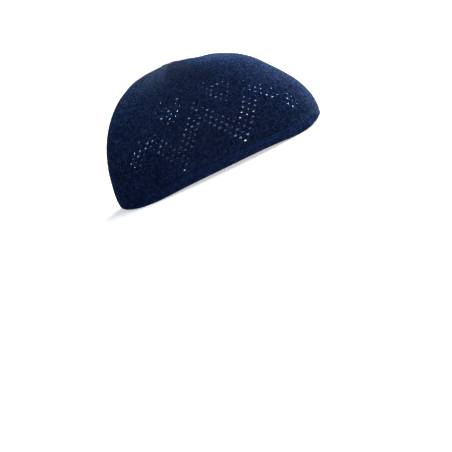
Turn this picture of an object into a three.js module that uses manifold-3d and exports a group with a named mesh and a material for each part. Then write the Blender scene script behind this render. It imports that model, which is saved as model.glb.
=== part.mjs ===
// Knitted kufi: a brimless cap of navy cotton, knitted as one tube and drawn together at the crown.
// Frame: millimetres, +Z up, origin on the floor under the middle of the cap. The forehead is at -Y,
// the nape at +Y, and the wearer's right side at -X.
//
// A place on the cloth is given as a share of the way round (0 at the forehead, 0.25 over the right ear,
// 0.5 at the nape) and as the distance up a wale, the column of stitches that starts there at the rim.
import * as THREE from "three";
import { mergeVertices } from "three/addons/utils/BufferGeometryUtils.js";
import Module from "manifold-3d";

// The cap's outer form, one row for each level from the rim up to the crown's centre. A level is an oval
// course line that runs through a place on the forehead's side and one at the nape, each with its own height
// over the rim.
// up is the distance up the wale, side is the reach over the ears, and square is the exponent of the oval:
// 2 is an ellipse, and more is boxier.
const LEVELS = [
  { up: 0, front: -96.6, frontHeight: 0, back: 96.2, backHeight: 0, side: 79.4, square: 2.36 },
  { up: 9, front: -97.5, frontHeight: 9, back: 96.8, backHeight: 9, side: 80.0, square: 2.36 },
  { up: 20, front: -96.2, frontHeight: 20, back: 95.6, backHeight: 20, side: 80.4, square: 2.32 },
  { up: 36, front: -90.6, frontHeight: 34.7, back: 92.4, backHeight: 35.6, side: 79.4, square: 2.28 },
  { up: 52, front: -81.8, frontHeight: 48.1, back: 87.2, backHeight: 50.5, side: 75.7, square: 2.22 },
  { up: 66, front: -73.1, frontHeight: 59.1, back: 80.6, backHeight: 62.7, side: 69.5, square: 2.16 },
  { up: 80, front: -63.9, frontHeight: 69.8, back: 72.1, backHeight: 73.9, side: 60.7, square: 2.1 },
  { up: 94, front: -52.9, frontHeight: 78.4, back: 61.7, backHeight: 83.5, side: 49.9, square: 2.06 },
  { up: 106, front: -42.1, frontHeight: 83.8, back: 51.4, backHeight: 89.8, side: 40.2, square: 2.0 },
  { up: 118, front: -31.0, frontHeight: 87.9, back: 40.3, backHeight: 94.2, side: 30.0, square: 2.0 },
  { up: 128, front: -21.3, frontHeight: 90.7, back: 30.5, backHeight: 96.0, side: 22.5, square: 2.0 },
  { up: 137, front: -12.6, frontHeight: 92.9, back: 21.5, backHeight: 96.6, side: 15.4, square: 2.0 },
  { up: 146, front: -3.8, frontHeight: 94.9, back: 12.5, backHeight: 96.7, side: 8.0, square: 2.0 },
  { up: 154, front: 4.3, frontHeight: 96.4, back: 4.3, backHeight: 96.4, side: 0.0, square: 2.0 },
];

// The wales over the ears lean to the forehead as they rise: this share of a turn at the crown's centre.
const WALE_LEAN = 0.046;
// Wales stand closer at the forehead and behind the ears than at the temples and the nape: each swing moves
// them by this share of a turn.
const WALE_SWING = 0.0064;

// Soft folds and hollows, each a smooth swell of the wall.
// share and up place its middle, wide and tall are its half sizes, and rise is how far it stands out.
const FOLDS = [
  { share: 0.885, up: 112, wide: 16, tall: 9, rise: 1.4 },
  { share: 0.1, up: 118, wide: 22, tall: 12, rise: -1.2 },
  { share: 0.4, up: 74, wide: 26, tall: 18, rise: -0.8 },
  { share: 0.26, up: 40, wide: 34, tall: 16, rise: 0.7 },
  { share: 0.62, up: 52, wide: 30, tall: 20, rise: -0.9 },
  { share: 0.78, up: 84, wide: 26, tall: 16, rise: 0.8 },
];

// The rim meets the floor at the temples and behind the ears, and stands a little off it between them.
// Each wave stands on both sides of the cap: share is its place, wide is its half width as a share of the way
// round, and part is how many times the rim's lift it adds.
const RIM_WAVES = [
  { share: 0, wide: 0.05, part: 0.4 },
  { share: 0.125, wide: 0.045, part: -1.04 },
  { share: 0.39, wide: 0.055, part: -1.08 },
  { share: 0.5, wide: 0.05, part: 1.5 },
];
const RIM_LIFT = 2.5; // off the floor over the ears
const LIFT_PITCH = 0.01; // added to the lift for each millimetre forwards
const WAVE_REACH = 45; // up the wale, to where the waves have died away

const KNIT_WALL = 1.8; // thickness of the single knit
const WELT_HEIGHT = 9.0; // up the wale from the rim's underside
const WELT_SWELL = 0.35; // how far the doubled welt stands out past the form
const WELT_WALL = 2.6;
const SEAT_GAP = 0.3; // left between neighbouring pieces
const GATHER_REACH = 9.0; // from the crown's centre to the edge of the drawn-together part
const GATHER_PLEATS = 10;

// The zigzag lace: eyelets lie on a lattice of half columns round the cap and rows up it.
const ZIGZAGS = 10; // repeats round the cap
const HALF_COLUMNS = 18; // in one repeat
const ZIGZAG_START = 2; // the half column of the first valley, just past the forehead's middle
const LOWEST_EYELETS = 14.2; // from the rim up to the lowest eyelets, at the foot of each valley
const STROKE_HALF = 2; // rows from a zigzag's lowest eyelets up to its middle line
const ROW_RISE = 3.72; // from row to row
const TIER_ROWS = 10; // rows from one zigzag up to the next
const TIERS = 2;
const CUT_EVERY = 3; // half columns between the eyelets cut here, on the middle line of each zigzag
const EYELET_WIDTH = 4.0;
const EYELET_HEIGHT = 3.0;

const COLUMNS = 60; // facets round the cap
const CROWN_ROWS = 13; // facets up the dome
const PLEAT_FACETS = 4; // facets round each pleat of the centre
const NEAR = 0.4; // how far apart the places are that give the cloth its direction

const wasm = await Module();
wasm.setup();

// One level's outline, an oval that runs from the forehead over the right ear to the nape and back.
class LevelOutline extends THREE.Curve {
  constructor(level) {
    super();
    this.level = level;
    this.arcLengthDivisions = 720;
  }

  getPoint(share, target = new THREE.Vector3()) {
    const { front, frontHeight, back, backHeight, side, square } = this.level;
    const bowed = (value) => Math.sign(value) * Math.abs(value) ** (2 / square);
    const angle = 2 * Math.PI * share;
    const backward = (1 - bowed(Math.cos(angle))) / 2;
    return target.set(
      -side * bowed(Math.sin(angle)),
      THREE.MathUtils.lerp(front, back, backward),
      THREE.MathUtils.lerp(frontHeight, backHeight, backward),
    );
  }
}

const crown = LEVELS.at(-1);
const crownCentre = new THREE.Vector3(0, crown.back, crown.backHeight);
const outlines = LEVELS.slice(0, -1).map((level) => new LevelOutline(level));

// The wale that starts at this share of the way round: a smooth curve from the rim to the crown's centre.
function waleAt(share) {
  const over = Math.sin(2 * Math.PI * share);
  const crowded = share - WALE_SWING * (over + Math.sin(6 * Math.PI * share));
  const points = outlines.map((outline) => {
    const lean = (WALE_LEAN * outline.level.up) / crown.up;
    const turn = crowded - lean * over;
    return outline.getPointAt(turn - Math.floor(turn));
  });
  const wale = new THREE.CatmullRomCurve3([...points, crownCentre], false, "centripetal");
  wale.arcLengthDivisions = 400;
  return wale;
}

function pointUp(wale, up) {
  return wale.getPointAt(THREE.MathUtils.clamp(up / wale.getLength(), 0, 1));
}

// How far the soft folds push the cloth out at one place. They die away towards the crown's centre.
function foldRise(share, up, girth, fromCentre) {
  let rise = 0;
  for (const fold of FOLDS) {
    let round = (((share - fold.share) % 1) + 1) % 1;
    if (round > 0.5) round -= 1;
    const across = (round * girth) / fold.wide;
    const along = (up - fold.up) / fold.tall;
    rise += fold.rise * Math.exp(-across * across - along * along);
  }
  return rise * Math.min(1, fromCentre / GATHER_REACH);
}

// How far the cloth is lifted off the floor at one place, for a point this far backwards.
function liftAt(share, up, backward) {
  const side = Math.abs(share - Math.round(share));
  let wave = 0;
  for (const { share: place, wide, part } of RIM_WAVES) {
    wave += part * Math.exp(-(((side - place) / wide) ** 2));
  }
  const fading = Math.max(0, 1 - up / WAVE_REACH) ** 2;
  return (RIM_LIFT - LIFT_PITCH * backward) * Math.max(0, 1 + wave * fading);
}

// A reader of one wale: it gives the point at a distance up it and a depth into the wall, with the cloth's
// outward, upward and sideways directions there.
function readWale(share) {
  const step = 1 / 720;
  const wale = waleAt(share);
  const before = waleAt(share - step);
  const after = waleAt(share + step);
  const length = wale.getLength();
  return {
    length,
    place(up, depth) {
      const inside = THREE.MathUtils.clamp(up, NEAR, length - NEAR);
      const point = pointUp(wale, up);
      const along = pointUp(wale, inside + NEAR).sub(pointUp(wale, inside - NEAR)).normalize();
      const sideways = pointUp(after, inside).sub(pointUp(before, inside));
      const girth = sideways.length() / (2 * step);
      sideways.normalize();
      const outward = new THREE.Vector3().crossVectors(along, sideways).normalize();
      if (length - up < NEAR) outward.set(0, 0, 1);
      point.addScaledVector(outward, foldRise(share, up, girth, length - up) - depth);
      if (up === 0) point.z = 0;
      point.z += liftAt(share, up, point.y);
      return { point, outward, along, sideways };
    },
  };
}

// A solid ring round the cap. loopOf(reader, share) gives one column's closed loop of points, anticlockwise
// when the way round runs away from the eye, and each loop is joined to the next.
function ringSolid(columns, loopOf) {
  const positions = [];
  const loops = [];
  for (let column = 0; column < columns; column += 1) {
    const share = column / columns;
    const loop = loopOf(readWale(share), share);
    loops.push(loop.length);
    for (const point of loop) positions.push(point.x, point.y, point.z);
  }
  const count = loops[0];
  const faces = [];
  for (let column = 0; column < columns; column += 1) {
    const here = column * count;
    const next = ((column + 1) % columns) * count;
    for (let i = 0; i < count; i += 1) {
      const j = (i + 1) % count;
      faces.push(here + i, here + j, next + j, here + i, next + j, next + i);
    }
  }
  const geometry = new THREE.BufferGeometry();
  geometry.setAttribute("position", new THREE.Float32BufferAttribute(positions, 3));
  geometry.setIndex(faces);
  return geometry;
}

function toManifold(geometry) {
  const bare = geometry.clone();
  bare.deleteAttribute("normal");
  bare.deleteAttribute("uv");
  const merged = mergeVertices(bare, 1e-4);
  return new wasm.Manifold(
    new wasm.Mesh({
      numProp: 3,
      vertProperties: new Float32Array(merged.getAttribute("position").array),
      triVerts: new Uint32Array(merged.index.array),
    }),
  );
}

function toGeometry(manifold) {
  const mesh = manifold.getMesh();
  const geometry = new THREE.BufferGeometry();
  geometry.setAttribute("position", new THREE.BufferAttribute(mesh.vertProperties, 3));
  geometry.setIndex(new THREE.BufferAttribute(mesh.triVerts, 1));
  geometry.computeVertexNormals();
  return geometry;
}

// The welt's section, as distance up the wale and depth into the wall. Its foot is level across the wall.
function weltGeometry() {
  const inner = WELT_WALL - WELT_SWELL;
  const section = [
    { up: 0, depth: 0.2 },
    { up: 0.9, depth: -WELT_SWELL },
    { up: WELT_HEIGHT / 2, depth: -WELT_SWELL },
    { up: WELT_HEIGHT - 0.8, depth: -WELT_SWELL },
    { up: WELT_HEIGHT, depth: 0.2 },
    { up: WELT_HEIGHT, depth: inner - 0.4 },
    { up: WELT_HEIGHT / 2, depth: inner },
    { up: 0, depth: inner - 0.3 },
  ];
  return ringSolid(COLUMNS, (reader) => section.map(({ up, depth }) => reader.place(up, depth).point));
}

// The dome wall before its eyelets: out along its face, over the edge of the centre, and back down inside.
function domeGeometry() {
  return ringSolid(COLUMNS, (reader) => {
    const bottom = WELT_HEIGHT + SEAT_GAP;
    const top = reader.length - GATHER_REACH;
    const outer = [];
    const inner = [];
    for (let row = 0; row <= CROWN_ROWS; row += 1) {
      const up = bottom + ((top - bottom) * row) / CROWN_ROWS;
      outer.push(reader.place(up, 0).point);
      inner.push(reader.place(up, KNIT_WALL).point);
    }
    return [...outer, ...inner.reverse()];
  });
}

// One eyelet's cutter: a six-sided peg through the wall, square to the cloth.
function eyeletPeg(share, up) {
  const { point, outward, along, sideways } = readWale(share).place(up, KNIT_WALL / 2);
  const peg = new THREE.CylinderGeometry(0.5, 0.5, 3 * KNIT_WALL, 6);
  const basis = new THREE.Matrix4().makeBasis(
    sideways.multiplyScalar(EYELET_WIDTH),
    outward,
    along.multiplyScalar(EYELET_HEIGHT).negate(),
  );
  if (basis.determinant() < 0) basis.scale(new THREE.Vector3(1, 1, -1));
  return toManifold(peg.applyMatrix4(basis.setPosition(point)));
}

// The dome wall with the middle line of each zigzag cut through it.
function laceGeometry() {
  let dome = toManifold(domeGeometry());
  for (let tier = 0; tier < TIERS; tier += 1) {
    for (let column = 0; column < ZIGZAGS * HALF_COLUMNS; column += CUT_EVERY) {
      const step = column % HALF_COLUMNS;
      const row = Math.min(step, HALF_COLUMNS - step) + tier * TIER_ROWS;
      const share = (column + ZIGZAG_START) / (ZIGZAGS * HALF_COLUMNS);
      dome = dome.subtract(eyeletPeg(share, LOWEST_EYELETS + (row + STROKE_HALF) * ROW_RISE));
    }
  }
  return toGeometry(dome);
}

// The drawn-together centre: a low pleated cushion in the crown's opening, with a dimple in the middle.
// from is the distance from the crown's centre, and flute is how much of the pleating shows there.
function gatherGeometry() {
  const edge = GATHER_REACH - SEAT_GAP;
  const section = [
    { from: edge, depth: 1.6, flute: 0 },
    { from: edge, depth: 0.2, flute: 0 },
    { from: edge - 1.4, depth: -0.2, flute: 0.3 },
    { from: edge / 2, depth: -0.4, flute: 0.4 },
    { from: edge / 4, depth: -0.2, flute: 0.2 },
    { from: 0, depth: 0.1, flute: 0 },
    { from: 0, depth: 2.6, flute: 0 },
    { from: edge / 2, depth: 2.6, flute: 0 },
  ];
  return ringSolid(PLEAT_FACETS * GATHER_PLEATS, (reader, share) =>
    section.map(({ from, depth, flute }) => {
      const wave = Math.cos(2 * Math.PI * GATHER_PLEATS * share);
      return reader.place(reader.length - from, depth - flute * wave).point;
    }),
  );
}

function clothMesh(name, geometry, colour) {
  const material = new THREE.MeshStandardMaterial({ color: colour, roughness: 0.92, metalness: 0 });
  material.name = name;
  const mesh = new THREE.Mesh(geometry, material);
  mesh.name = name;
  return mesh;
}

const kufi = new THREE.Group();
kufi.name = "kufi";
kufi.add(clothMesh("rim_band", weltGeometry(), 0x172444));
kufi.add(clothMesh("knit_crown", laceGeometry(), 0x1d2c4f));
kufi.add(clothMesh("crown_gather", gatherGeometry(), 0x22345a));

export default kufi;
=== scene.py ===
import bpy
import numpy as np
from mathutils import Matrix, Vector


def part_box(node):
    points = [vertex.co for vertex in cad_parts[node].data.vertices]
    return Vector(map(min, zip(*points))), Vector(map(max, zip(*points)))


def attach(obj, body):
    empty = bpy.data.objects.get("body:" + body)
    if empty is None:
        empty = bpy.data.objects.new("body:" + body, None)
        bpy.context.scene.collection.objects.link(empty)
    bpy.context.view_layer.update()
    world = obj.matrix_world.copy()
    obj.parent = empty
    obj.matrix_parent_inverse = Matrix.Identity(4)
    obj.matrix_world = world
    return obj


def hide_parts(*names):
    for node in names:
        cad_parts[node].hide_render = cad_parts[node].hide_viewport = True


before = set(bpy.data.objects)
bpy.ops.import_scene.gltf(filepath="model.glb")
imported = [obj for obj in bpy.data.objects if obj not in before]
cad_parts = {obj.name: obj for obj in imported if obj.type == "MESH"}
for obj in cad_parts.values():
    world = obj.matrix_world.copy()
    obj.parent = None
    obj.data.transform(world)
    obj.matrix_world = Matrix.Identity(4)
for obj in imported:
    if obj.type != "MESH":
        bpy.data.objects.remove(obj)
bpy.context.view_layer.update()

# ---- Welt ----------------------------------------------------------------------------------------
# The cap is one tube of navy cotton yarn, knitted upwards from the rim. Its first courses are turned
# under and knitted in, which makes a doubled welt 9 mm deep with a rounded fold along the rim.

# The form of the whole cap, which every piece lies on. Each row is one course line round the cap:
# millimetres up the wale, the line's place and height at the forehead and at the nape, its reach over
# the ears, and the exponent of its oval.
FORM = np.array([
    (0, -96.6, 0, 96.2, 0, 79.4, 2.36),
    (9, -97.5, 9, 96.8, 9, 80.0, 2.36),
    (20, -96.2, 20, 95.6, 20, 80.4, 2.32),
    (36, -90.6, 34.7, 92.4, 35.6, 79.4, 2.28),
    (52, -81.8, 48.1, 87.2, 50.5, 75.7, 2.22),
    (66, -73.1, 59.1, 80.6, 62.7, 69.5, 2.16),
    (80, -63.9, 69.8, 72.1, 73.9, 60.7, 2.1),
    (94, -52.9, 78.4, 61.7, 83.5, 49.9, 2.06),
    (106, -42.1, 83.8, 51.4, 89.8, 40.2, 2.0),
    (118, -31.0, 87.9, 40.3, 94.2, 30.0, 2.0),
    (128, -21.3, 90.7, 30.5, 96.0, 22.5, 2.0),
    (137, -12.6, 92.9, 21.5, 96.6, 15.4, 2.0),
    (146, -3.8, 94.9, 12.5, 96.7, 8.0, 2.0),
])
CROWN_CENTRE = (0, 4.3, 96.4)
CROWN_UP = 154  # millimetres up the wale to the centre
WALE_LEAN = 0.046  # share of a turn by which the wales over the ears lean to the forehead at the top
WALE_SWING = 0.0064  # the same for each swing that crowds them at the forehead and behind the ears

# The rim meets the floor at the temples and behind the ears, and stands a little off it between them.
# Each wave, on both sides of the cap: share of the way round, half width, and times the lift it adds.
RIM_WAVES = ((0, 0.05, 0.4), (0.125, 0.045, -1.04), (0.39, 0.055, -1.08), (0.5, 0.05, 1.5))
RIM_LIFT = 2.5  # millimetres off the floor over the ears
LIFT_PITCH = 0.01  # millimetres more for each millimetre forwards
WAVE_REACH = 45.0  # millimetres up the wale that the waves die away over

# Soft folds of the worn cap: share of the way round and millimetres up, half width, half height, rise.
FOLDS = np.array([
    (0.885, 112, 16, 9, 1.4),
    (0.1, 118, 22, 12, -1.2),
    (0.4, 74, 26, 18, -0.8),
    (0.26, 40, 34, 16, 0.7),
    (0.62, 52, 30, 20, -0.9),
    (0.78, 84, 26, 16, 0.8),
])
SHARES = 720  # columns of the form's table, round the cap
ROW = 0.5  # millimetres from one row of the table to the next
SPARE_ROWS = 14  # rows of the table past the crown's centre
PARTS = 40  # parts of each wale's curve between two course lines
LANE = 1000.0  # millimetres from the start of one wale to the next when they are laid end to end
NEAR = 0.4  # millimetres either side of a place that give its direction
GATHER_REACH = 9.0  # millimetres from the crown's centre to the edge of the drawn-together part


def course_line(level, turns):
    """Points of one course line at shares of its length from the forehead: the sine and cosine of an
    angle, each raised to 2 / square, give the reach to the side and the way back, and the angle comes
    from the summed length of 720 chords."""
    _, front, front_height, back, back_height, side, square = level

    def at(angle):
        sine, cosine = np.sin(angle), np.cos(angle)
        backward = (1 - np.sign(cosine) * np.abs(cosine) ** (2 / square)) / 2
        return np.stack([
            -side * np.sign(sine) * np.abs(sine) ** (2 / square),
            front + (back - front) * backward,
            front_height + (back_height - front_height) * backward,
        ], axis=-1)

    angles = np.linspace(0, 2 * np.pi, SHARES + 1)
    chords = np.linalg.norm(np.diff(at(angles), axis=0), axis=1)
    lengths = np.concatenate([[0], np.cumsum(chords)])
    return at(np.interp(np.mod(turns, 1) * lengths[-1], lengths, angles))


def curves_through(knots):
    """Smooth curves through each row of knots: cubic pieces whose slopes at a knot weigh the steps to
    its neighbours by the square root of their length."""
    ends = 2 * knots[:, :1] - knots[:, 1:2], 2 * knots[:, -1:] - knots[:, -2:-1]
    knots = np.concatenate([ends[0], knots, ends[1]], axis=1)
    gap = np.sqrt(np.linalg.norm(np.diff(knots, axis=1), axis=2))[..., None]
    p0, p1, p2, p3 = knots[:, :-3], knots[:, 1:-2], knots[:, 2:-1], knots[:, 3:]
    g0, g1, g2 = gap[:, :-2], gap[:, 1:-1], gap[:, 2:]
    slope1 = ((p1 - p0) / g0 - (p2 - p0) / (g0 + g1) + (p2 - p1) / g1) * g1
    slope2 = ((p2 - p1) / g1 - (p3 - p1) / (g1 + g2) + (p3 - p2) / g2) * g1
    t = (np.arange(PARTS) / PARTS)[:, None]
    p1, p2, slope1, slope2 = (a[:, :, None] for a in (p1, p2, slope1, slope2))
    cubic = p1 + slope1 * t + (3 * (p2 - p1) - 2 * slope1 - slope2) * t**2
    cubic = cubic + (2 * (p1 - p2) + slope1 + slope2) * t**3
    return np.concatenate([cubic.reshape(len(knots), -1, 3), knots[:, -2:-1]], axis=1)


shares = np.arange(SHARES) / SHARES
over = np.sin(2 * np.pi * shares)
crowded = shares - WALE_SWING * (over + np.sin(6 * np.pi * shares))
leans = WALE_LEAN * FORM[:, 0] / CROWN_UP
levels = [course_line(level, crowded - lean * over) for level, lean in zip(FORM, leans)]
centre_knots = np.broadcast_to(CROWN_CENTRE, (SHARES, 3))
wale_curves = curves_through(np.stack([*levels, centre_knots], axis=1))
wale_steps = np.linalg.norm(np.diff(wale_curves, axis=1), axis=2)
wale_arcs = np.concatenate([np.zeros((SHARES, 1)), np.cumsum(wale_steps, axis=1)], axis=1)
wale_lengths = wale_arcs[:, -1]


def up_the_wales(up):
    """Points at these distances up every wale. The wales' summed lengths are laid end to end on one long
    line, so that one interpolation over it serves them all."""
    lane = LANE * np.arange(SHARES)[:, None]
    up = np.clip(up, 0, wale_lengths[:, None] - 1e-6)
    index = np.interp((lane + up).ravel(), (lane + wale_arcs).ravel(), np.arange(wale_arcs.size))
    low = index.astype(int)
    part = (index - low)[:, None]
    points = wale_curves.reshape(-1, 3)
    return (points[low] * (1 - part) + points[low + 1] * part).reshape(*up.shape, 3)


def unit(vectors):
    """Vectors divided by their length."""
    return vectors / np.maximum(np.linalg.norm(vectors, axis=-1, keepdims=True), 1e-12)


def form_table():
    """The form's points and outward directions, a column for each share and a row for each half
    millimetre up. Outward is along the wale crossed with the way round. Each fold adds its rise times
    e to the power of minus its squared distance in half widths, and dies away to the crown's centre.
    The lift off the floor and its waves come last."""
    rows = int(CROWN_UP / ROW) + SPARE_ROWS
    ups = np.broadcast_to(ROW * np.arange(rows), (SHARES, rows))
    length = wale_lengths[:, None]
    inside = np.clip(ups, NEAR, length - NEAR)
    along = unit(up_the_wales(inside + NEAR) - up_the_wales(inside - NEAR))
    middle = up_the_wales(inside)
    sideways = np.roll(middle, -1, axis=0) - np.roll(middle, 1, axis=0)
    girth = np.linalg.norm(sideways, axis=2) * SHARES / 2
    outward = unit(np.cross(along, unit(sideways)))
    outward[length - ups < NEAR] = (0, 0, 1)
    rise = np.zeros(ups.shape)
    for share, up, wide, tall, high in FOLDS:
        across = (np.mod(shares[:, None] - share + 0.5, 1) - 0.5) * girth / wide
        rise += high * np.exp(-(across**2) - ((ups - up) / tall) ** 2)
    rise *= np.clip((length - ups) / GATHER_REACH, 0, 1)
    points = up_the_wales(ups) + outward * rise[..., None]
    side = np.minimum(shares, 1 - shares)
    waves = [part * np.exp(-(((side - share) / wide) ** 2)) for share, wide, part in RIM_WAVES]
    wave = sum(waves)[:, None] * np.clip(1 - ups / WAVE_REACH, 0, 1) ** 2
    points[..., 2] += (RIM_LIFT - LIFT_PITCH * points[..., 1]) * np.maximum(1 + wave, 0)
    return points, outward


WELT_HEIGHT = 9.0
WELT_SWELL = 0.35  # millimetres by which the welt stands out of the form
form_points, form_outward = form_table()
welt_top_line = form_points[:, int(WELT_HEIGHT / ROW)]
welt_low, welt_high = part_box("rim_band")
# Metres to the millimetre, so that the form is as long as the frame's welt.
MM = (welt_high.y - welt_low.y) / (np.ptp(welt_top_line[:, 1]) + 2 * WELT_SWELL)


def on_cloth(share, up, lift=0.0):
    """Points in metres at shares of the way round and millimetres up the wale, moved out of the form by
    lift millimetres: the table's four nearest points and directions, mixed by their closeness."""
    share, up, lift = np.broadcast_arrays(share, up, lift)
    column = np.mod(share, 1) * SHARES
    row = np.clip(up / ROW, 0, form_points.shape[1] - 1.001)
    c, r = column.astype(int), row.astype(int)
    pc, pr = (column - c)[..., None], (row - r)[..., None]
    c, c_next = c % SHARES, (c + 1) % SHARES

    def mixed(table):
        low = table[c, r] * (1 - pc) + table[c_next, r] * pc
        high = table[c, r + 1] * (1 - pc) + table[c_next, r + 1] * pc
        return low * (1 - pr) + high * pr

    return MM * (mixed(form_points) + unit(mixed(form_outward)) * lift[..., None])


def wale_length(share):
    """Length of the wale at these shares, in millimetres."""
    return np.interp(np.mod(share, 1), np.append(shares, 1), np.append(wale_lengths, wale_lengths[0]))


def cloth_piece(name, points, faces, uvs, tone, material, node):
    """A mesh object from arrays: points in metres, faces in arrays of one number of corners each, a place
    on the knitting for each corner, and a tone for each point. It rides on the cap and stands for a
    node."""
    mesh = bpy.data.meshes.new(name)
    corners = np.concatenate([f.ravel() for f in faces])
    sides = np.concatenate([np.full(len(f), f.shape[1]) for f in faces])
    mesh.vertices.add(len(points))
    mesh.vertices.foreach_set("co", points.astype(np.float32).ravel())
    mesh.loops.add(len(corners))
    mesh.loops.foreach_set("vertex_index", corners.astype(np.int32))
    mesh.polygons.add(len(sides))
    mesh.polygons.foreach_set("loop_start", (np.cumsum(sides) - sides).astype(np.int32))
    mesh.polygons.foreach_set("use_smooth", np.ones(len(sides), bool))
    layer = mesh.uv_layers.new(name="knit")
    layer.data.foreach_set("uv", np.concatenate([u.ravel() for u in uvs]).astype(np.float32))
    attribute = mesh.attributes.new("tone", "FLOAT", "POINT")
    attribute.data.foreach_set("value", tone.astype(np.float32))
    mesh.update(calc_edges=True)
    mesh.materials.append(material)
    piece = bpy.data.objects.new(name, mesh)
    bpy.context.scene.collection.objects.link(piece)
    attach(piece, "root")
    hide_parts(node)
    return piece


MOTTLE = 0.12  # tone that the mottling of the dye adds at most


def navy_cotton(name, dark, light, sheen):
    """Matt dyed cotton. The tone of a point picks a colour between dark and light, and slow noise mottles
    the dye. On the stitches and the pleats the tone also carries painted shade, and on the stitches a
    painted highlight along their crests. The bump adds slanting bands, for the plies twisted round the
    yarn, and fine noise, for its fibres."""
    material = bpy.data.materials.new(name)
    material.use_nodes = True
    nodes, links = material.node_tree.nodes, material.node_tree.links
    shader = nodes["Principled BSDF"]
    shader.inputs["Roughness"].default_value = 0.6
    shader.inputs["Specular IOR Level"].default_value = 0.04
    shader.inputs["Sheen Weight"].default_value = sheen
    shader.inputs["Sheen Roughness"].default_value = 0.45
    shader.inputs["Sheen Tint"].default_value = (0.85, 0.94, 1.0, 1)

    place = nodes.new("ShaderNodeTexCoord")
    mottle = nodes.new("ShaderNodeTexNoise")
    mottle.inputs["Scale"].default_value = 55
    mottle.inputs["Detail"].default_value = 4
    links.new(place.outputs["Object"], mottle.inputs["Vector"])
    tone = nodes.new("ShaderNodeAttribute")
    tone.attribute_name = "tone"
    blend = nodes.new("ShaderNodeMath")
    blend.operation = "MULTIPLY_ADD"
    blend.inputs[1].default_value = MOTTLE
    links.new(mottle.outputs["Fac"], blend.inputs[0])
    links.new(tone.outputs["Fac"], blend.inputs[2])
    dye_and_shade = nodes.new("ShaderNodeMix")
    dye_and_shade.data_type = "RGBA"
    dye_and_shade.inputs["A"].default_value = (*dark, 1)
    dye_and_shade.inputs["B"].default_value = (*light, 1)
    links.new(blend.outputs["Value"], dye_and_shade.inputs["Factor"])
    links.new(dye_and_shade.outputs["Result"], shader.inputs["Base Color"])

    plies = nodes.new("ShaderNodeTexWave")
    plies.bands_direction = "DIAGONAL"
    plies.inputs["Scale"].default_value = 1.1
    plies.inputs["Distortion"].default_value = 1.5
    plies.inputs["Detail"].default_value = 1
    links.new(place.outputs["UV"], plies.inputs["Vector"])
    fibres = nodes.new("ShaderNodeTexNoise")
    fibres.inputs["Scale"].default_value = 2600
    fibres.inputs["Detail"].default_value = 2
    links.new(place.outputs["Object"], fibres.inputs["Vector"])
    relief = nodes.new("ShaderNodeMath")
    relief.operation = "ADD"
    links.new(plies.outputs["Fac"], relief.inputs[0])
    links.new(fibres.outputs["Fac"], relief.inputs[1])
    bump = nodes.new("ShaderNodeBump")
    bump.inputs["Strength"].default_value = 0.6
    bump.inputs["Distance"].default_value = 0.00006
    links.new(relief.outputs["Value"], bump.inputs["Height"])
    links.new(bump.outputs["Normal"], shader.inputs["Normal"])
    return material


def ring_faces(columns, rows, closed):
    """Faces of a grid of columns round the cap, each a row of points: closed joins the last row to the
    first. With the places of their corners, in columns and rows."""
    c, r = np.meshgrid(np.arange(columns), np.arange(rows if closed else rows - 1), indexing="ij")
    c, r = c.ravel(), r.ravel()
    beside, above = (c + 1) % columns, (r + 1) % rows
    faces = np.stack([c * rows + r, c * rows + above, beside * rows + above, beside * rows + r], axis=1)
    place = np.stack([
        np.stack([c, r], 1), np.stack([c, r + 1], 1),
        np.stack([c + 1, r + 1], 1), np.stack([c + 1, r], 1),
    ], axis=1)
    return faces, place


WALES = 360  # stitches round the cap
FOLD_RADIUS = 1.1
FOLD_DEPTH = 0.95  # millimetres of the fold's middle in from the form
FOLD_UP = FOLD_RADIUS + 0.16  # and up, so that the stitches' crests just clear the rim line
WELT_COURSE = 1.72  # millimetres from course to course of the welt
WELT_COURSES = 8  # four outside, two round the fold and two up inside

# A leg of a stitch is half of its V, a grain with six corners: wales across, courses up, and millimetres
# out of the cloth, for its foot, outer side, tip, inner side, lower crest and upper crest.
LEG = np.array([
    (0.05, -0.62, -0.42),
    (0.43, 0.03, -0.24),
    (0.38, 0.58, -0.48),
    (0.03, -0.05, -0.24),
    (0.16, -0.28, 0.13),
    (0.30, 0.28, 0.14),
])
LEG_FACES = np.array([
    (0, 4, 1), (1, 4, 5), (1, 5, 2), (2, 5, 3), (3, 5, 4), (3, 4, 0), (0, 1, 3), (2, 3, 1),
])
LEG_ALONG = np.array([0.0, 0.5, 1.0, 0.5, 0.3, 0.7])  # each corner's share of the way along the yarn
LEG_OVER = np.array([0.5, 1.0, 0.5, 0.0, 0.5, 0.5])  # and of the way across it
LEG_SPREAD = (0.035, 0.04, 0.025)  # how legs differ: wales across, share of length, millimetres out

# A corner's tone is its stitch's tone times its own: painted shade where it dives between its neighbours,
# and a painted highlight along its crests.
LEG_PAINTED_SHADE = np.array([0.7, 0.0, 0.4, 0.4, 2.0, 1.7])
STITCH_TONE = 0.09  # of the darkest stitches
GLINT_POWER = 3  # of the random share that each stitch adds: most add little, and a few catch the light
LEG_TONE_SPREAD = 0.05
WALE_STREAK = (0.06, 2.399)  # tone by which wales differ, and radians of its wave from each to the next
COURSE_STREAK = (0.03, 1.711)  # the same for courses
chance = np.random.default_rng(14)


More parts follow.
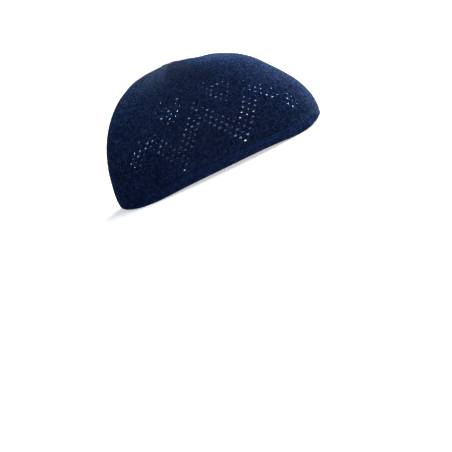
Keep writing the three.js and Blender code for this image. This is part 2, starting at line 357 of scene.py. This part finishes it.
def v_stitches(count):
    """Offsets of the corners of both legs of count stitches (stitch, leg, corner) in wales and courses,
    their lifts, their faces, and the places of the faces' corners across and along the leg. The second
    leg is the first one mirrored, with its faces turned."""
    side = np.array([1, -1])[None, :, None]
    sway, stretch, rise = LEG_SPREAD
    across = (LEG[:, 0] + chance.normal(0, sway, (count, 2, 1))) * side
    up = LEG[:, 1] * (1 + chance.normal(0, stretch, (count, 2, 1))) + np.zeros_like(across)
    lift = LEG[:, 2] + chance.normal(0, rise, (count, 2, 1)) + np.zeros_like(across)
    turned = np.stack([LEG_FACES, LEG_FACES[:, ::-1]])
    first = len(LEG) * np.arange(count * 2).reshape(count, 2, 1, 1)
    faces = (first + turned[None]).reshape(-1, 3)
    place = np.stack([LEG_OVER[turned], LEG_ALONG[turned]], axis=-1)
    twist = np.broadcast_to(chance.random((count, 2, 1, 1, 1)), (count, 2, len(LEG_FACES), 3, 1))
    places = np.concatenate([
        np.broadcast_to(place[None, ..., :1], twist.shape), place[None, ..., 1:] + twist,
    ], axis=-1).reshape(-1, 3, 2)
    return across, up, lift, faces, places


def yarn_tone_and_shade(wale, course):
    """Tone of each point of some stitches: the corner's painted shade or highlight times a leg's own tone,
    which is the darkest tone and a random share cubed for the stitch, a little for the leg, and a wave
    each for the wale and course."""
    count = len(wale)
    streak = WALE_STREAK[0] * np.sin(wale * WALE_STREAK[1])
    streak = streak + COURSE_STREAK[0] * np.sin(course * COURSE_STREAK[1])
    glint = chance.random((count, 1)) ** GLINT_POWER
    stitch = STITCH_TONE + glint + chance.normal(0, LEG_TONE_SPREAD, (count, 2))
    tone = np.clip(streak[:, None] + stitch, 0, 1)
    return (tone[..., None] * LEG_PAINTED_SHADE).ravel()


def welt_section(round_fold, lift):
    """Millimetres up and in at a distance round the welt's section and a lift from it: from the fold's
    outer side up the outer face where positive, round a half circle, and then up the inner face."""
    turn = np.clip(-round_fold / FOLD_RADIUS, 0, np.pi)
    outer = np.clip(round_fold, 0, None)
    inner = np.clip(-round_fold - np.pi * FOLD_RADIUS, 0, None)
    up = FOLD_UP - (FOLD_RADIUS + lift) * np.sin(turn) + outer + inner
    depth = FOLD_DEPTH - (FOLD_RADIUS + lift) * np.cos(turn)
    return up, depth


# The cloth under the stitches: a closed sleeve round the welt's section.
WELT_COLUMNS = WALES // 2
WELT_ROWS = 26  # rows of points round the section
WELT_CLOTH_LIFT = -0.36  # millimetres, so that it lies under the legs' crests
WELT_CLOTH_TONE = 0.15
WELT_EDGE = 0.5  # millimetres from the welt's top down to the edge of its cloth
FIRST_STITCH = 0.35  # and from there to the top of its first course
WELT_NAVY = navy_cotton(
    "welt_cotton", dark=(0.0004, 0.004, 0.028), light=(0.037, 0.079, 0.25), sheen=0.04,
)

top_edge = WELT_HEIGHT - FOLD_UP - WELT_EDGE
inner_edge = -np.pi * FOLD_RADIUS - top_edge
round_fold = np.linspace(top_edge, inner_edge, WELT_ROWS)
welt_up, welt_depth = welt_section(round_fold, WELT_CLOTH_LIFT)
welt_shares = (np.arange(WELT_COLUMNS) / WELT_COLUMNS)[:, None]
welt_points = on_cloth(welt_shares, welt_up[None], -welt_depth[None])
faces, place = ring_faces(WELT_COLUMNS, WELT_ROWS, closed=True)
place = place * (WALES / WELT_COLUMNS, 1)
welt_fold = cloth_piece(
    "welt_fold", welt_points.reshape(-1, 3), [faces[:, ::-1]], [place[:, ::-1]],
    np.full(welt_points.size // 3, WELT_CLOTH_TONE), WELT_NAVY, "rim_band",
)

wale, course = (a.ravel().astype(float) for a in np.meshgrid(np.arange(WALES), np.arange(WELT_COURSES)))
across, up, lift, faces, places = v_stitches(len(wale))
stitch_at = top_edge - FIRST_STITCH - WELT_COURSE * (course + 0.5)
stitch_up, stitch_depth = welt_section(stitch_at[:, None, None] + up * WELT_COURSE, lift)
points = on_cloth((wale[:, None, None] + across) / WALES, stitch_up, -stitch_depth)
welt_stitches = cloth_piece(
    "welt_stitches", points.reshape(-1, 3), [faces], [places],
    yarn_tone_and_shade(wale, course), WELT_NAVY, "rim_band",
)

# ---- Lace wall -----------------------------------------------------------------------------------
# Above the welt the tube is single plain knitting, pierced by two zigzags of eyelets one above the
# other. An eyelet is a dropped stitch whose neighbours bow round it; three run side by side up each
# stroke of a zigzag, and the wall closes again to plain knitting below the crown.
ZIGZAG_WALES = 36  # wales in one repeat of the zigzag, from valley to valley
FIRST_VALLEY = 4  # wale of the first valley, just past the forehead's middle
EYELET_WALES = 2  # wales from one line of eyelets to the next
EYELET_COURSES = 3  # courses from one row of the eyelets' lattice to the next
STROKE_ROWS = (0, 2, 4, 10, 12, 14)  # rows of eyelets above a valley, for both zigzags
LOWEST_EYELET = 14.2  # millimetres up
COURSE = 1.24  # millimetres from course to course
FIRST_COURSE = -4  # the one on the welt, counted from the lowest eyelets
LACE_TOP = 71  # last course before the crown's decreases
CROWN_COURSES = 34  # courses from there to the drawn-together centre
LACE_ROWS = 25  # rows of the lattice that the wall has cells for
LINES = WALES // EYELET_WALES
EYELET_SIZE = (0.84, 0.62)  # half width in wales and half height in courses, at the yarn
EYELET_LEAN = 0.22  # share by which an eyelet is narrower above its middle and wider below
OPENING = (0.94, 0.2)  # middle and spread of the eyelets' sizes, over the usual one
OPENING_ENDS = (0.5, 1.25)  # their least and greatest
LOWEST_OPENING = 0.65  # the lowest are drawn in to this share
openings = np.clip(chance.normal(*OPENING, (LINES, LACE_ROWS)), *OPENING_ENDS)
openings[:, 0] *= LOWEST_OPENING


def zigzag_rise(line):
    """Rows by which a zigzag's line of eyelets stands above its valley: up and down by one a line."""
    lines = ZIGZAG_WALES // EYELET_WALES
    return np.minimum(np.mod(line, lines), np.mod(-line, lines))


def is_eyelet(line, row):
    """Whether the lattice has an eyelet there: its row is one of the stroke's rows above the zigzag."""
    return np.isin(row - zigzag_rise(line), STROKE_ROWS)


def round_eyelets(wale, course):
    """Moves places of the knitting out of the eyelets: one that is q eyelet radii from an eyelet's middle
    goes to the cube root of q cubed plus one radii, so far ones hardly move."""
    line = np.rint((wale - FIRST_VALLEY) / EYELET_WALES)
    row = np.rint(course / EYELET_COURSES)
    moved_wale, moved_course = wale.copy(), course.copy()
    for beside in (-1, 0, 1):
        for above in (-1, 0, 1):
            off = wale - FIRST_VALLEY - EYELET_WALES * (line + beside)
            over = course - EYELET_COURSES * (row + above)
            radii = np.maximum(np.hypot(off / EYELET_SIZE[0], over / EYELET_SIZE[1]), 1e-3)
            push = np.cbrt(radii**3 + 1) / radii - 1
            push = np.where(is_eyelet(line + beside, row + above), push, 0)
            moved_wale += off * push
            moved_course += over * push
    return moved_wale, moved_course


def eyelet_ring(line, row, angle, radii):
    """Wales and courses of points round an eyelet, at angles from its right and at radii of its size: the
    cosine gives the width, less above the middle than below, and the sine gives the height."""
    size = openings[line, row] * radii
    wide = EYELET_SIZE[0] * size * np.cos(angle) * (1 - EYELET_LEAN * np.sin(angle))
    tall = EYELET_SIZE[1] * size * np.sin(angle)
    return FIRST_VALLEY + EYELET_WALES * line + wide, EYELET_COURSES * row + tall


def course_up(share, course):
    """Millimetres up at a course: evenly spaced in the lace, and above it evenly to the edge of the
    drawn-together centre."""
    lace_top = LOWEST_EYELET + COURSE * LACE_TOP
    crown_top = wale_length(share) - GATHER_REACH
    crown = lace_top + (crown_top - lace_top) * (course - LACE_TOP) / CROWN_COURSES
    return np.where(course < LACE_TOP, LOWEST_EYELET + COURSE * course, crown)


def on_knitting(wale, course, lift):
    """Points in metres at wales round the cap and courses up it."""
    share = wale / WALES
    return on_cloth(share, course_up(share, course), lift)


# The wall under the stitches, in cells of two wales and three courses, each round one lattice point.
# Its cloth is much darker than the stitches' yarn: painted shade in the gaps between the stitches.
WALL_LIFTS = (-0.40, -1.45)  # millimetres of its outer and inner face
WALL_START = 0.6  # courses that it reaches below the first course, to the welt
WALL_SHADE_TONE = 0.25
CROWN_ROWS = 14  # rows of its points above the lace
HOLE_CORNERS = 8
LACE_DYE = {"dark": (0.0004, 0.004, 0.03), "light": (0.042, 0.091, 0.285), "sheen": 0.05}
LACE_NAVY = navy_cotton("lace_cotton", **LACE_DYE)
# Painted shade: the wall is dyed far darker than the yarn of its stitches, so the gaps between them read
# dark.
WALL_SHADE_NAVY = navy_cotton(
    "wall_cotton_painted_shade", dark=(0.001, 0.0028, 0.012), light=(0.004, 0.01, 0.038), sheen=0.02,
)

crown_courses = np.linspace(LACE_TOP + EYELET_COURSES, LACE_TOP + CROWN_COURSES, CROWN_ROWS)
wall_courses = np.concatenate([
    [FIRST_COURSE - WALL_START], EYELET_COURSES * (np.arange(LACE_ROWS) - 0.5), crown_courses,
])
wall_rows = len(wall_courses)
wall_wales = FIRST_VALLEY + EYELET_WALES * (np.arange(LINES) - 0.5)
grid_wale, grid_course = np.meshgrid(wall_wales, wall_courses, indexing="ij")
grid_points = [on_knitting(grid_wale, grid_course, lift).reshape(-1, 3) for lift in WALL_LIFTS]
grid_count = LINES * wall_rows

faces, place = ring_faces(LINES, wall_rows, closed=False)
cell_line, cell_row = np.divmod(np.arange(len(faces)), wall_rows - 1)
holed = is_eyelet(cell_line, cell_row - 1) & (cell_row > 0) & (cell_row < LACE_ROWS)
corner_wale = np.array([-1, -1, 1, 1]) + FIRST_VALLEY + EYELET_WALES * cell_line[:, None]
corner_course = wall_courses[np.stack([cell_row, cell_row + 1, cell_row + 1, cell_row], axis=1)]
corner_place = np.stack([corner_wale, corner_course], axis=-1)

# Each hole's ring starts at the cell's first corner, at the lower left, and goes the way the cell goes.
hole_line, hole_row = cell_line[holed], cell_row[holed] - 1
angle = -np.pi * (0.75 + np.arange(HOLE_CORNERS) / (HOLE_CORNERS / 2))
hole_wale, hole_course = eyelet_ring(hole_line[:, None], hole_row[:, None], angle, 1.0)
hole_points = [on_knitting(hole_wale, hole_course, lift).reshape(-1, 3) for lift in WALL_LIFTS]
hole_place = np.stack([hole_wale, hole_course], axis=-1)
ring = np.arange(HOLE_CORNERS * len(hole_line)).reshape(-1, HOLE_CORNERS)


def holed_cell_faces(cells, places, ring_at):
    """Faces between a cell's four corners and the eight of its hole: a triangle at each corner, and a
    four-sided face along each side."""
    triangles, quads, triangle_places, quad_places = [], [], [], []
    for side in range(4):
        here, there = 2 * side, (2 * side + 2) % HOLE_CORNERS
        half = here + 1
        corner, after = side, (side + 1) % 4
        triangles.append(np.stack([cells[:, corner], ring_at[:, half], ring_at[:, here]], 1))
        triangle_places.append(np.stack([places[:, corner], hole_place[:, half], hole_place[:, here]], 1))
        quads.append(np.stack([cells[:, corner], cells[:, after], ring_at[:, there], ring_at[:, half]], 1))
        quad_places.append(
            np.stack([places[:, corner], places[:, after], hole_place[:, there], hole_place[:, half]], 1)
        )
    return [np.concatenate(a) for a in (triangles, quads, triangle_places, quad_places)]


hole_count = ring.size
outer_ring = 2 * grid_count + ring
inner_ring = outer_ring + hole_count
holed_places = corner_place[holed]
outer_tri, outer_quad, tri_place, quad_place = holed_cell_faces(faces[holed], holed_places, outer_ring)
inner_tri, inner_quad, _, _ = holed_cell_faces(faces[holed] + grid_count, holed_places, inner_ring)
hole_sides = np.stack([
    outer_ring, np.roll(outer_ring, -1, axis=1), np.roll(inner_ring, -1, axis=1), inner_ring,
], axis=-1).reshape(-1, 4)
side_places = np.stack([hole_place, np.roll(hole_place, -1, axis=1)], axis=2)
side_places = np.concatenate([side_places, side_places[:, :, ::-1]], axis=2).reshape(-1, 4, 2)
edge = np.arange(LINES) * wall_rows
edge_next = np.roll(edge, -1)
lower_edge = np.stack([edge, edge_next, edge_next + grid_count, edge + grid_count], axis=1)
upper_edge = lower_edge[:, ::-1] + wall_rows - 1
edge_places = np.stack([np.stack([wall_wales, np.zeros(LINES)], 1)] * 4, axis=1)
wall_faces = [
    faces[~holed], faces[~holed, ::-1] + grid_count, outer_quad, inner_quad[:, ::-1], hole_sides,
    lower_edge, upper_edge, outer_tri, inner_tri[:, ::-1],
]
wall_places = [
    corner_place[~holed], corner_place[~holed, ::-1], quad_place, quad_place[:, ::-1], side_places,
    edge_places, edge_places, tri_place, tri_place[:, ::-1],
]
wall_points = np.concatenate([*grid_points, *hole_points])
cap_wall = cloth_piece(
    "cap_wall", wall_points, wall_faces, wall_places, np.full(len(wall_points), WALL_SHADE_TONE),
    WALL_SHADE_NAVY, "knit_crown",
)

# ---- Stitches of the wall ------------------------------------------------------------------------
# Each stitch of the plain knitting shows as a V of cotton yarn, whose legs dive under the stitch above.
# The stitches stand in 360 wales, and next to an eyelet their legs bow round it.
MIDDLE_LACE = 23  # course that the middle third of the lace starts at
UPPER_LACE = 47  # and the upper third


def lace_stitches(name, first, last):
    """The stitches of some courses, without those that the eyelets drop."""
    wale, course = (a.ravel().astype(float) for a in np.meshgrid(np.arange(WALES), np.arange(first, last)))
    off_line = np.mod(wale - FIRST_VALLEY, EYELET_WALES) + np.mod(course, EYELET_COURSES)
    line, row = (wale - FIRST_VALLEY) / EYELET_WALES, course / EYELET_COURSES
    kept = ~((off_line == 0) & is_eyelet(line, row))
    wale, course = wale[kept], course[kept]
    across, up, lift, faces, places = v_stitches(len(wale))
    corner_wale, corner_course = round_eyelets(wale[:, None, None] + across, course[:, None, None] + up)
    points = on_knitting(corner_wale, corner_course, lift).reshape(-1, 3)
    tone = yarn_tone_and_shade(wale, course)
    cloth_piece(name, points, [faces], [places], tone, LACE_NAVY, "knit_crown")


lace_stitches("lower_lace_stitches", FIRST_COURSE, MIDDLE_LACE)
lace_stitches("middle_lace_stitches", MIDDLE_LACE, UPPER_LACE)
lace_stitches("upper_lace_stitches", UPPER_LACE, LACE_TOP + 1)

# ---- Eyelet yarns --------------------------------------------------------------------------------
# Where a stitch is dropped, the cotton yarn laid over the needle leaves a round loop. The stitches
# beside it catch it, and it holds the eyelet open.
LOOP_CORNERS = 8
# The loop's section: eyelet radii out from the eyelet's middle, and millimetres of lift.
LOOP_SECTION = np.array([(0.88, -0.26), (1.02, -0.06), (1.2, -0.26), (1.02, -0.5)])
LOOP_TONE = 0.3
LOOP_TONE_SPREAD = 0.1
LOOP_PLIES = (0.5, 0.25)  # places on the knitting from face to face, round the eyelet and the yarn

loop_line, loop_row = (a[:, None, None] for a in (hole_line, hole_row))
angle = (2 * np.pi * np.arange(LOOP_CORNERS) / LOOP_CORNERS)[None, :, None]
loop_wale, loop_course = eyelet_ring(loop_line, loop_row, angle, LOOP_SECTION[None, None, :, 0])
points = on_knitting(loop_wale, loop_course, LOOP_SECTION[None, None, :, 1])
loop_count = len(hole_line)
around, place = ring_faces(LOOP_CORNERS, len(LOOP_SECTION), closed=True)
first = (LOOP_CORNERS * len(LOOP_SECTION) * np.arange(loop_count))[:, None, None]
faces = (first + around[None]).reshape(-1, 4)
places = np.broadcast_to(place[None] * LOOP_PLIES, (loop_count, *place.shape)).reshape(-1, 4, 2)
loop_tone = LOOP_TONE + chance.normal(0, LOOP_TONE_SPREAD, loop_count)
cloth_piece(
    "eyelet_loops", points.reshape(-1, 3), [faces], [places],
    np.repeat(loop_tone, LOOP_CORNERS * len(LOOP_SECTION)), LACE_NAVY, "knit_crown",
)

# ---- Crown ---------------------------------------------------------------------------------------
# Above the lace the knitting narrows in ten gores. A spine wale runs up between each two gores, and
# the wales beside it end against it where stitches were knitted together.
GORES = 10
GORE_WALES = WALES // GORES
GORE_TOP_WALES = 4.6  # width of a gore at the drawn-together centre, in wales
WALE_ROOM = 0.9  # wales that a wale needs from its middle to the spine's, or it has ended
CROWN_FLATTENING = 0.8  # share of their relief that the tightening stitches lose by the centre
SPINE_WIDTH = 1.25  # of a spine's stitches, over a usual wale's
SPINE_LIFT = 0.16  # millimetres by which a spine stands out of the gores


def gore_width(course):
    """Wales in a gore at a course, spine and all: evenly fewer from the lace to the centre."""
    way = np.clip((course - LACE_TOP - 0.5) / CROWN_COURSES, 0, None)
    return GORE_WALES + (GORE_TOP_WALES - GORE_WALES) * way


def on_gore(gore, wale, course, lift):
    """Points in metres at wales from a gore's middle and courses up. Wales keep their width while the
    gore narrows, and what would pass its spine stops at it."""
    width = gore_width(course)
    share = (FIRST_VALLEY + GORE_WALES * (gore + 0.5)) / WALES + np.clip(wale / width, -0.5, 0.5) / GORES
    return on_cloth(share, course_up(share, course), lift)


gore, course, wale = (a.ravel().astype(float) for a in np.meshgrid(
    np.arange(GORES), np.arange(LACE_TOP + 1, LACE_TOP + CROWN_COURSES + 1),
    np.arange(GORE_WALES) - (GORE_WALES / 2 - 1),
))
spine = wale == GORE_WALES / 2
kept = spine | (np.abs(wale) + WALE_ROOM <= gore_width(course) / 2)
gore, course, wale, spine = gore[kept], course[kept], wale[kept], spine[kept]
across, up, lift, faces, places = v_stitches(len(wale))
lift = lift * (1 - CROWN_FLATTENING * np.sqrt((course[:, None, None] - LACE_TOP) / CROWN_COURSES))
corner_course = course[:, None, None] + up
side_wale = np.where(spine[:, None, None], 0, wale[:, None, None]) + across
gore_points = on_gore(gore[:, None, None], side_wale, corner_course, lift)
spine_share = (FIRST_VALLEY + GORE_WALES * (gore + 1))[:, None, None] / WALES
spine_share = spine_share + SPINE_WIDTH * across / gore_width(corner_course) / GORES
spine_points = on_cloth(spine_share, course_up(spine_share, corner_course), lift + SPINE_LIFT)
points = np.where(spine[:, None, None, None], spine_points, gore_points)
cloth_piece(
    "crown_stitches", points.reshape(-1, 3), [faces], [places],
    yarn_tone_and_shade(wale, course), LACE_NAVY, "knit_crown",
)

# ---- Drawn-together centre -----------------------------------------------------------------------
# A thread through the last course draws the crown shut. The cotton bunches into ten soft pleats round
# a dimple, where the thread's end is worked in.
PLEATS = 10
PLEAT_RISE = 0.4  # millimetres from a pleat's middle to its crest
PLEAT_TURN = 1.2  # radians of its wave that a pleat leans by on its way to the middle
CUSHION_RISE = 0.55  # millimetres that the bunched cloth swells
DIMPLE = (0.4, 0.2)  # its depth in millimetres, and its reach as a share of the way out
GATHER_LIFTS = (-0.3, -1.9)  # millimetres of the outer and inner face, before the swell
# Painted shade: the smooth pleats are darker than the stitches' yarn, for the shade between stitches that
# they lack.
GATHER_SHADE_TONE = 0.1
GATHER_COLUMNS = 160
GATHER_ROWS = 22
GATHER_EDGE = GATHER_REACH + 0.4  # the pleats start just under the last course of the crown
GATHER_MIDDLE = 0.35  # millimetres from the middle to the last row
GATHER_PLIES = (0.25, 0.25)  # places on the knitting from face to face
PLEAT_NAVY = navy_cotton("gathered_cotton", **LACE_DYE)


def pleated(share, reach):
    """Points of the centre at millimetres from the crown's middle: a low cushion, highest two fifths of
    the way out, less a dimple, folded into pleats by a wave round it whose crests lean with the twist of
    the thread. The wave dies away over the inner third and the outer quarter."""
    way = np.clip(reach / GATHER_EDGE, 0, 1)
    cushion = CUSHION_RISE * np.sin(np.pi * way**0.8) - DIMPLE[0] * np.exp(-((way / DIMPLE[1]) ** 2))
    wave = np.cos(2 * np.pi * PLEATS * share + PLEAT_TURN * (1 - way))
    flute = PLEAT_RISE * wave * np.clip(way * 3, 0, 1) * np.clip((1 - way) * 4, 0, 1)
    return on_cloth(share, wale_length(share) - reach, cushion + flute + GATHER_LIFTS[0])


gather_share = (np.arange(GATHER_COLUMNS) / GATHER_COLUMNS)[:, None]
reach = np.linspace(GATHER_EDGE, GATHER_MIDDLE, GATHER_ROWS)[None]
top = pleated(gather_share, reach)
under = on_cloth(gather_share, wale_length(gather_share) - reach[:, ::-1], GATHER_LIFTS[1])
points = np.concatenate([top, under], axis=1)
faces, place = ring_faces(GATHER_COLUMNS, 2 * GATHER_ROWS, closed=True)
cloth_piece(
    "crown_pleats", points.reshape(-1, 3), [faces], [place * GATHER_PLIES],
    np.full(points.size // 3, GATHER_SHADE_TONE), PLEAT_NAVY, "crown_gather",
)

# ---- Studio --------------------------------------------------------------------------------------
# The cap lies by itself on a plain white floor, against white. Wide, soft panels light it from above
# the forehead, from the near and the far side, and from low before the brow.


def pale_cloth(name, colour, glow):
    """A matt colour with a white glow of its own."""
    material = bpy.data.materials.new(name)
    material.use_nodes = True
    shader = material.node_tree.nodes["Principled BSDF"]
    shader.inputs["Base Color"].default_value = (*colour, 1)
    shader.inputs["Roughness"].default_value = 0.9
    shader.inputs["Specular IOR Level"].default_value = 0.1
    shader.inputs["Emission Color"].default_value = (1, 1, 1, 1)
    shader.inputs["Emission Strength"].default_value = glow
    return material


bpy.ops.mesh.primitive_circle_add(vertices=96, radius=4.0, fill_type="NGON", location=(0, 0, 0))
floor = bpy.context.object
floor.name = "floor"
floor.data.materials.append(pale_cloth("floor_white", colour=(0.82, 0.82, 0.82), glow=0.55))
floor.visible_diffuse = False
bpy.ops.mesh.primitive_uv_sphere_add(segments=64, ring_count=32, radius=5.0)
backdrop = bpy.context.object
backdrop.name = "backdrop"
backdrop.data.materials.append(pale_cloth("backdrop_white", colour=(0, 0, 0), glow=1.1))
for rays in ("visible_diffuse", "visible_glossy", "visible_transmission", "visible_shadow"):
    setattr(backdrop, rays, False)

# Each panel's name, the way it lies from the cap, its strength, how wide it looks in degrees, and colour.
PANELS = (
    ("sky_panel", (0.15, -0.6, 0.8), 1.1, 45, (1.0, 1.0, 0.72)),
    ("side_panel", (-0.6, -0.5, 0.55), 1.65, 45, (0.82, 0.93, 1.0)),
    ("back_panel", (0.6, -0.6, 0.5), 5.6, 40, (1.0, 0.98, 0.7)),
    ("brow_panel", (-0.2, -1.0, 0.1), 1.6, 40, (0.95, 1.0, 0.95)),
)
for name, way, strength, width, colour in PANELS:
    light = bpy.data.lights.new(name, "SUN")
    light.energy = strength
    light.color = colour
    light.angle = np.radians(width)
    panel = bpy.data.objects.new(name, light)
    panel.matrix_world = Vector(way).to_track_quat("Z", "Y").to_matrix().to_4x4()
    bpy.context.scene.collection.objects.link(panel)

# Small lamps in the empty hollow light only the wall's inner face, so that the eyelets read pale
# against the dark cloth. Each one's name, place, aim, cone in degrees, watts and colour.
WARM = (1.0, 0.8, 0.45)
WARMER = (1.0, 0.78, 0.42)
AMBER = (1.0, 0.735, 0.376)
HOLLOW_LAMPS = (
    ("front_lamp", (-0.01, -0.05, 0.035), (0.076, -0.035, 0.024), 70, 5.0, WARM),
    ("temple_lamp", (0.01, -0.04, 0.035), (0.051, -0.076, 0.026), 55, 32.0, WARM),
    ("brow_lamp", (0.01, -0.03, 0.045), (0.062, -0.058, 0.045), 45, 14.0, WARM),
    ("top_lamp", (0.01, -0.04, 0.06), (0.067, -0.024, 0.058), 48, 12.0, WARM),
    ("upper_lamp", (0.01, 0.02, 0.06), (0.068, 0.024, 0.059), 44, 30.0, WARMER),
    ("nape_lamp", (0, 0.055, 0.05), (0.061, 0.06, 0.042), 42, 12.0, AMBER),
    ("low_lamp", (0, 0.03, 0.04), (0.077, 0.026, 0.024), 36, 2.2, WARMER),
)
LAMP_RADIUS = 0.01
inner_cloth = bpy.data.collections.new("inner_cloth")
for piece in (cap_wall, welt_fold, welt_stitches):
    inner_cloth.objects.link(piece)
for name, stand, aim, cone, watts, colour in HOLLOW_LAMPS:
    light = bpy.data.lights.new(name, "SPOT")
    light.energy = watts
    light.color = colour
    light.spot_size = np.radians(cone)
    light.spot_blend = 1.0
    light.shadow_soft_size = LAMP_RADIUS
    lamp = bpy.data.objects.new(name, light)
    turned = (Vector(stand) - Vector(aim)).to_track_quat("Z", "Y").to_matrix().to_4x4()
    lamp.matrix_world = Matrix.Translation(stand) @ turned
    lamp.light_linking.receiver_collection = inner_cloth
    lamp.visible_camera = False
    bpy.context.scene.collection.objects.link(lamp)

AIR_COLOUR = (0.7, 0.88, 1.0)
AIR_STRENGTH = 0.24
world = bpy.data.worlds.new("studio_air")
world.use_nodes = True
world.node_tree.nodes["Background"].inputs["Color"].default_value = (*AIR_COLOUR, 1)
world.node_tree.nodes["Background"].inputs["Strength"].default_value = AIR_STRENGTH
bpy.context.scene.world = world

# The view: its lens in millimetres, metres from the aim, and in degrees how far it stands above the
# rim, rolls, and looks down and to the right of the aim.
VIEW = {
    "lens": 117.97,
    "away": 1.3,
    "above_rim": 3.67,
    "roll": 25.34,
    "look_down": 4.102,
    "look_right": 0.955,
}
AIM = Vector((0, 0, 0.0425))
camera_data = bpy.data.cameras.new("camera")
camera_data.lens = VIEW["lens"]
camera_data.clip_end = 20
camera = bpy.data.objects.new("camera", camera_data)
bpy.context.scene.collection.objects.link(camera)
elevation, roll = np.radians(VIEW["above_rim"]), np.radians(VIEW["roll"])
back = Vector((-np.cos(elevation), 0, np.sin(elevation)))
right = Vector((0, 0, 1)).cross(back).normalized()
above = back.cross(right)
turned_right = right * np.cos(roll) - above * np.sin(roll)
turned_up = right * np.sin(roll) + above * np.cos(roll)
facing = Matrix((turned_right, turned_up, back)).transposed()
aim_off = Vector((-np.tan(np.radians(VIEW["look_right"])), np.tan(np.radians(VIEW["look_down"])), -1))
tilt = aim_off.rotation_difference(Vector((0, 0, -1))).to_matrix()
camera.matrix_world = Matrix.Translation(AIM + back * VIEW["away"]) @ (facing @ tilt).to_4x4()
bpy.context.scene.camera = camera
bpy.context.scene.view_settings.view_transform = "Standard"
